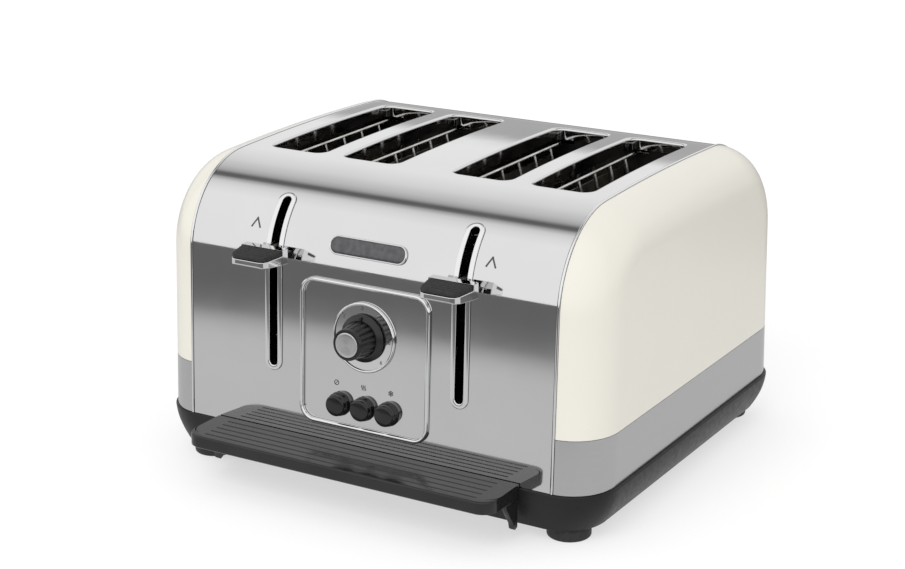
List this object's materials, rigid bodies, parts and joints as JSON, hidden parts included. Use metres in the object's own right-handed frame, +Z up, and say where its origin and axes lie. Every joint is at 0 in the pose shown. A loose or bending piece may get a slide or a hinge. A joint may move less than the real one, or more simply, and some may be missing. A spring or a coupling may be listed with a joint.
{
  "type": "pop up toaster",
  "caption": "Pop-up bread toaster with polished wrap, painted end covers, sliding levers, browning dial, push buttons and a pull-out crumb tray.",
  "frame": {"origin": "centre of the footprint, front ledge and cord inlet included, on the surface the feet stand on", "axes": "+X to the right seen from the front, +Y to the back, +Z up"},
  "size_m": [0.32, 0.318, 0.1987],
  "materials": {
    "polished_steel": "polished",
    "satin_steel": "satin",
    "chrome_trim": "polished",
    "cream_paint": "satin",
    "black_plastic": "satin",
    "gloss_black": "gloss",
    "foot_rubber": "matte",
    "pad_rubber": "matte",
    "chassis_steel": "satin",
    "fastener_steel": "satin",
    "wire_steel": "polished",
    "spun_aluminium": "satin",
    "badge_grey": "satin",
    "circuit_board": "matte",
    "copper_coil": "satin",
    "mica": "matte"
  },
  "bodies": {
    "housing": {"steel_wrap": "polished_steel", "left_end_cover": "cream_paint", "left_lower_band": "satin_steel", "left_seam_trim": "chrome_trim", "right_end_cover": "cream_paint", "right_lower_band": "satin_steel", "right_seam_trim": "chrome_trim", "base_moulding": "black_plastic", "base_plate": "chassis_steel", "base_screw_left": "fastener_steel", "base_screw_right": "fastener_steel", "front_left_foot": "foot_rubber", "front_right_foot": "foot_rubber", "rear_left_foot": "foot_rubber", "rear_right_foot": "foot_rubber", "cord_inlet": "black_plastic", "ledge_support": "gloss_black", "control_bezel": "chrome_trim", "dial_ring": "polished_steel", "browning_control": "fastener_steel", "control_board": "circuit_board", "badge": "badge_grey", "left_slot_trim": "chrome_trim", "left_guide_rod": "wire_steel", "left_return_spring": "wire_steel", "left_electromagnet": "copper_coil", "right_slot_trim": "chrome_trim", "right_guide_rod": "wire_steel", "right_return_spring": "wire_steel", "right_electromagnet": "copper_coil", "front_chassis_plate": "chassis_steel", "rear_chassis": "chassis_steel", "left_inner_heater_board": "mica", "left_middle_heater_board": "mica", "left_outer_heater_board": "mica", "right_inner_heater_board": "mica", "right_middle_heater_board": "mica", "right_outer_heater_board": "mica"},
    "left_lever": {"left_lever_handle": "chrome_trim", "left_lever_pad": "pad_rubber", "left_carriage": "chassis_steel", "left_keeper_plate": "fastener_steel", "left_bread_racks": "wire_steel"},
    "left_pair_left_guards": {"left_pair_left_guards": "wire_steel"},
    "left_pair_right_guards": {"left_pair_right_guards": "wire_steel"},
    "right_lever": {"right_lever_handle": "chrome_trim", "right_lever_pad": "pad_rubber", "right_carriage": "chassis_steel", "right_keeper_plate": "fastener_steel", "right_bread_racks": "wire_steel"},
    "right_pair_left_guards": {"right_pair_left_guards": "wire_steel"},
    "right_pair_right_guards": {"right_pair_right_guards": "wire_steel"},
    "knob": {"browning_knob": "black_plastic", "knob_cap": "spun_aluminium", "knob_shaft": "fastener_steel"},
    "cancel_button": {"cancel_button": "gloss_black"},
    "reheat_button": {"reheat_button": "gloss_black"},
    "defrost_button": {"defrost_button": "gloss_black"},
    "tray": {"crumb_tray": "chassis_steel", "crumb_tray_handle": "gloss_black"}
  },
  "joints": [
    {"name": "left_lever_slide", "type": "slide", "parent": "housing", "child": "left_lever", "axis": [0, 0, 1], "range_m": [-0.0675, 0.025], "stiffness_N_per_m": 90, "springref_m": 0.01925, "deforming": ["left_return_spring"]},
    {"name": "left_pair_left_guard_slide", "type": "slide", "parent": "housing", "child": "left_pair_left_guards", "axis": [1, 0, 0], "range_m": [-0.0019, 0.0051]},
    {"name": "left_pair_right_guard_slide", "type": "slide", "parent": "housing", "child": "left_pair_right_guards", "axis": [-1, 0, 0], "range_m": [-0.0019, 0.0051]},
    {"name": "right_lever_slide", "type": "slide", "parent": "housing", "child": "right_lever", "axis": [0, 0, 1], "range_m": [-0.0675, 0.025], "stiffness_N_per_m": 90, "springref_m": 0.01925, "deforming": ["right_return_spring"]},
    {"name": "right_pair_left_guard_slide", "type": "slide", "parent": "housing", "child": "right_pair_left_guards", "axis": [1, 0, 0], "range_m": [-0.0019, 0.0051]},
    {"name": "right_pair_right_guard_slide", "type": "slide", "parent": "housing", "child": "right_pair_right_guards", "axis": [-1, 0, 0], "range_m": [-0.0019, 0.0051]},
    {"name": "browning_knob_turn", "type": "hinge", "parent": "housing", "child": "knob", "pos_m": [0, -0.11907, 0.10662], "axis": [0, -0.9989, 0.0471], "range_deg": [-140, 130]},
    {"name": "cancel_button_press", "type": "slide", "parent": "housing", "child": "cancel_button", "axis": [0, 0.9989, -0.0471], "range_m": [0, 0.003], "stiffness_N_per_m": 600, "springref_m": -0.001},
    {"name": "reheat_button_press", "type": "slide", "parent": "housing", "child": "reheat_button", "axis": [0, 0.9989, -0.0471], "range_m": [0, 0.003], "stiffness_N_per_m": 600, "springref_m": -0.001},
    {"name": "defrost_button_press", "type": "slide", "parent": "housing", "child": "defrost_button", "axis": [0, 0.9989, -0.0471], "range_m": [0, 0.003], "stiffness_N_per_m": 600, "springref_m": -0.001},
    {"name": "crumb_tray_slide", "type": "slide", "parent": "housing", "child": "tray", "axis": [0, -1, 0], "range_m": [0, 0.25]}
  ],
  "couplings": [
    {"joint": "left_pair_left_guard_slide", "follows": "left_lever_slide", "ratio": -0.074074},
    {"joint": "left_pair_right_guard_slide", "follows": "left_lever_slide", "ratio": -0.074074},
    {"joint": "right_pair_left_guard_slide", "follows": "right_lever_slide", "ratio": -0.074074},
    {"joint": "right_pair_right_guard_slide", "follows": "right_lever_slide", "ratio": -0.074074}
  ]
}
